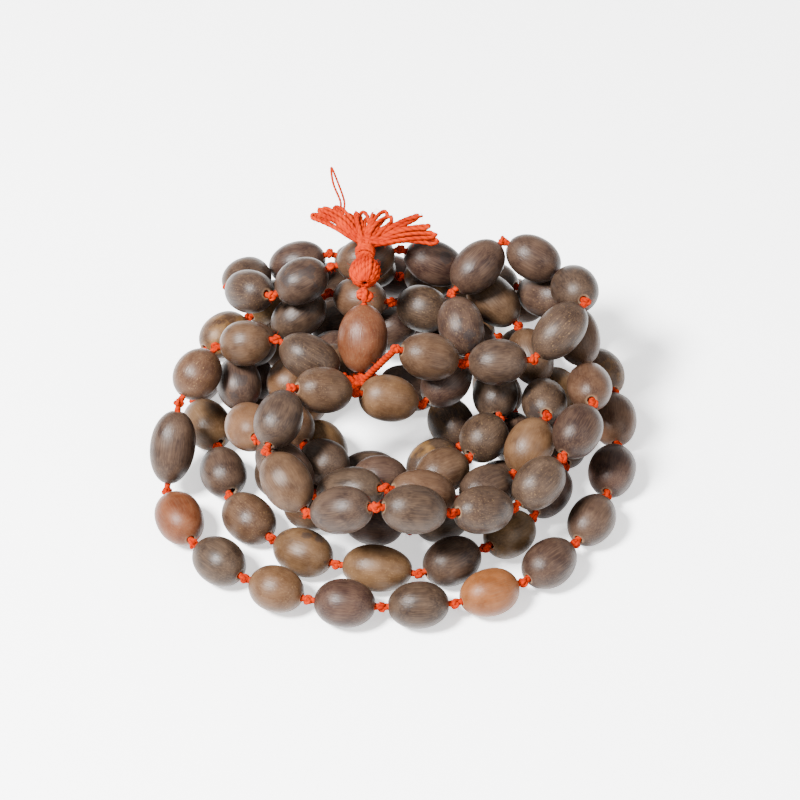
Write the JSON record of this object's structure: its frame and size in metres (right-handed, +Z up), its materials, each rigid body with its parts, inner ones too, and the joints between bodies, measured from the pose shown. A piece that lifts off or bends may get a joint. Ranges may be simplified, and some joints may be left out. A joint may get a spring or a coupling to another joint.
{
  "type": "mala prayer beads",
  "caption": "Mala of drilled lotus seeds on a knotted orange cotton thread, wound into a round heap, with a reddish guru bead and a yarn tassel lying on top.",
  "frame": {"origin": "on the table under the middle of the heap", "axes": "+Z up from the table, +X to the viewer's right, +Y away from the viewer"},
  "size_m": [0.1121, 0.1151, 0.0472],
  "materials": {
    "seed": "satin",
    "guru_seed": "satin",
    "cotton": "matte"
  },
  "bodies": {
    "heap": {"beads_outer_turn_back": "seed", "beads_middle_turn": "seed", "beads_inner_turn": "seed", "beads_centre_turn": "seed", "beads_upper_inner_turn": "seed", "beads_upper_middle_turn": "seed", "beads_upper_outer_turn": "seed", "thread_first_run": "cotton", "thread_outer_turn_back": "cotton", "thread_middle_turn": "cotton", "thread_inner_turn": "cotton", "thread_centre_turn": "cotton", "thread_upper_inner_turn": "cotton", "thread_upper_middle_turn": "cotton", "thread_upper_outer_turn": "cotton", "thread_last_run": "cotton", "joining_knot": "cotton", "joining_cord": "cotton"},
    "bead_1_body": {"bead_1": "seed"},
    "bead_2_body": {"bead_2": "seed"},
    "bead_3_body": {"bead_3": "seed"},
    "bead_4_body": {"bead_4": "seed"},
    "bead_5_body": {"bead_5": "seed"},
    "bead_6_body": {"bead_6": "seed"},
    "bead_7_body": {"bead_7": "seed"},
    "bead_8_body": {"bead_8": "seed"},
    "bead_9_body": {"bead_9": "seed"},
    "bead_10_body": {"bead_10": "seed"},
    "bead_11_body": {"bead_11": "seed"},
    "bead_12_body": {"bead_12": "seed"},
    "bead_97_body": {"bead_97": "seed"},
    "bead_98_body": {"bead_98": "seed"},
    "bead_99_body": {"bead_99": "seed"},
    "bead_100_body": {"bead_100": "seed"},
    "bead_101_body": {"bead_101": "seed"},
    "bead_102_body": {"bead_102": "seed"},
    "bead_103_body": {"bead_103": "seed"},
    "bead_104_body": {"bead_104": "seed"},
    "bead_105_body": {"bead_105": "seed"},
    "bead_106_body": {"bead_106": "seed"},
    "bead_107_body": {"bead_107": "seed"},
    "bead_108_body": {"bead_108": "seed"},
    "guru_line": {"guru_thread": "cotton"},
    "guru_bead_body": {"guru_bead": "guru_seed"},
    "tassel": {"hanging_knot": "cotton", "tassel_head": "cotton", "tassel_neck": "cotton", "tassel_skirt": "cotton", "tassel_stray_loop": "cotton"}
  },
  "joints": [
    {"name": "bead_1_spin", "type": "hinge", "parent": "heap", "child": "bead_1_body", "pos_m": [-0.0195, 0.0015, 0.0274], "axis": [-0.8651, 0.2884, 0.4104], "continuous": true},
    {"name": "bead_2_spin", "type": "hinge", "parent": "heap", "child": "bead_2_body", "pos_m": [-0.034, 0.0045, 0.02913], "axis": [-0.965, 0.0689, -0.2529], "continuous": true},
    {"name": "bead_3_spin", "type": "hinge", "parent": "heap", "child": "bead_3_body", "pos_m": [-0.045, -0.0005, 0.02423], "axis": [-0.5364, -0.7375, -0.4104], "continuous": true},
    {"name": "bead_4_spin", "type": "hinge", "parent": "heap", "child": "bead_4_body", "pos_m": [-0.0505, -0.013, 0.01331], "axis": [-0.1411, -0.6584, -0.7393], "continuous": true},
    {"name": "bead_5_spin", "type": "hinge", "parent": "heap", "child": "bead_5_body", "pos_m": [-0.0485, -0.0275, 0.00545], "axis": [0.4229, -0.9062, 0], "continuous": true},
    {"name": "bead_6_spin", "type": "hinge", "parent": "heap", "child": "bead_6_body", "pos_m": [-0.039, -0.04, 0.00545], "axis": [0.7682, -0.6402, 0], "continuous": true},
    {"name": "bead_7_spin", "type": "hinge", "parent": "heap", "child": "bead_7_body", "pos_m": [-0.026, -0.048, 0.00545], "axis": [0.9191, -0.3939, 0], "continuous": true},
    {"name": "bead_8_spin", "type": "hinge", "parent": "heap", "child": "bead_8_body", "pos_m": [-0.011, -0.052, 0.00545], "axis": [0.9923, -0.124, 0], "continuous": true},
    {"name": "bead_9_spin", "type": "hinge", "parent": "heap", "child": "bead_9_body", "pos_m": [0.005, -0.0525, 0.00545], "axis": [0.9981, 0.0624, 0], "continuous": true},
    {"name": "bead_10_spin", "type": "hinge", "parent": "heap", "child": "bead_10_body", "pos_m": [0.0205, -0.049, 0.00545], "axis": [0.9285, 0.3714, 0], "continuous": true},
    {"name": "bead_11_spin", "type": "hinge", "parent": "heap", "child": "bead_11_body", "pos_m": [0.034, -0.0405, 0.00545], "axis": [0.7372, 0.6757, 0], "continuous": true},
    {"name": "bead_12_spin", "type": "hinge", "parent": "heap", "child": "bead_12_body", "pos_m": [0.044, -0.028, 0.00545], "axis": [0.4961, 0.8682, 0], "continuous": true},
    {"name": "bead_97_spin", "type": "hinge", "parent": "heap", "child": "bead_97_body", "pos_m": [-0.0235, -0.0355, 0.02648], "axis": [-0.5314, 0.7676, 0.3584], "continuous": true},
    {"name": "bead_98_spin", "type": "hinge", "parent": "heap", "child": "bead_98_body", "pos_m": [-0.0255, -0.0215, 0.03157], "axis": [0.306, 0.9181, 0.252], "continuous": true},
    {"name": "bead_99_spin", "type": "hinge", "parent": "heap", "child": "bead_99_body", "pos_m": [-0.016, -0.0115, 0.03029], "axis": [0.8588, 0.3067, -0.4104], "continuous": true},
    {"name": "bead_100_spin", "type": "hinge", "parent": "heap", "child": "bead_100_body", "pos_m": [-0.0015, -0.0075, 0.0235], "axis": [0.8942, 0.1788, -0.4104], "continuous": true},
    {"name": "bead_101_spin", "type": "hinge", "parent": "heap", "child": "bead_101_body", "pos_m": [0.0115, -0.0005, 0.02161], "axis": [0.6934, 0.6934, 0.1959], "continuous": true},
    {"name": "bead_102_spin", "type": "hinge", "parent": "heap", "child": "bead_102_body", "pos_m": [0.015, 0.0125, 0.02666], "axis": [-0.235, 0.8811, 0.4104], "continuous": true},
    {"name": "bead_103_spin", "type": "hinge", "parent": "heap", "child": "bead_103_body", "pos_m": [0.019, 0.0255, 0.0333], "axis": [0.6876, 0.6303, 0.3606], "continuous": true},
    {"name": "bead_104_spin", "type": "hinge", "parent": "heap", "child": "bead_104_body", "pos_m": [0.032, 0.028, 0.0337], "axis": [0.8645, -0.3705, -0.3397], "continuous": true},
    {"name": "bead_105_spin", "type": "hinge", "parent": "heap", "child": "bead_105_body", "pos_m": [0.041, 0.0175, 0.03382], "axis": [0.2416, -0.906, 0.3475], "continuous": true},
    {"name": "bead_106_spin", "type": "hinge", "parent": "heap", "child": "bead_106_body", "pos_m": [0.037, 0.0045, 0.03304], "axis": [-0.6722, -0.6162, -0.4104], "continuous": true},
    {"name": "bead_107_spin", "type": "hinge", "parent": "heap", "child": "bead_107_body", "pos_m": [0.023, -0.0015, 0.02915], "axis": [-0.9977, -0.0624, -0.0279], "continuous": true},
    {"name": "bead_108_spin", "type": "hinge", "parent": "heap", "child": "bead_108_body", "pos_m": [0.0075, -0.003, 0.03233], "axis": [-0.9039, -0.1205, 0.4104], "continuous": true},
    {"name": "guru_lift", "type": "hinge", "parent": "heap", "child": "guru_line", "pos_m": [-0.008, -0.001, 0.02184], "axis": [1, 0, 0], "range_deg": [0, 10]},
    {"name": "guru_bead_spin", "type": "hinge", "parent": "guru_line", "child": "guru_bead_body", "pos_m": [-0.0075, 0.00618, 0.02879], "axis": [0.0502, 0.7176, 0.6947], "continuous": true},
    {"name": "tassel_swing", "type": "hinge", "parent": "guru_line", "child": "tassel", "pos_m": [-0.007, 0.01335, 0.03574], "axis": [1, 0, 0], "range_deg": [0, 70]}
  ]
}
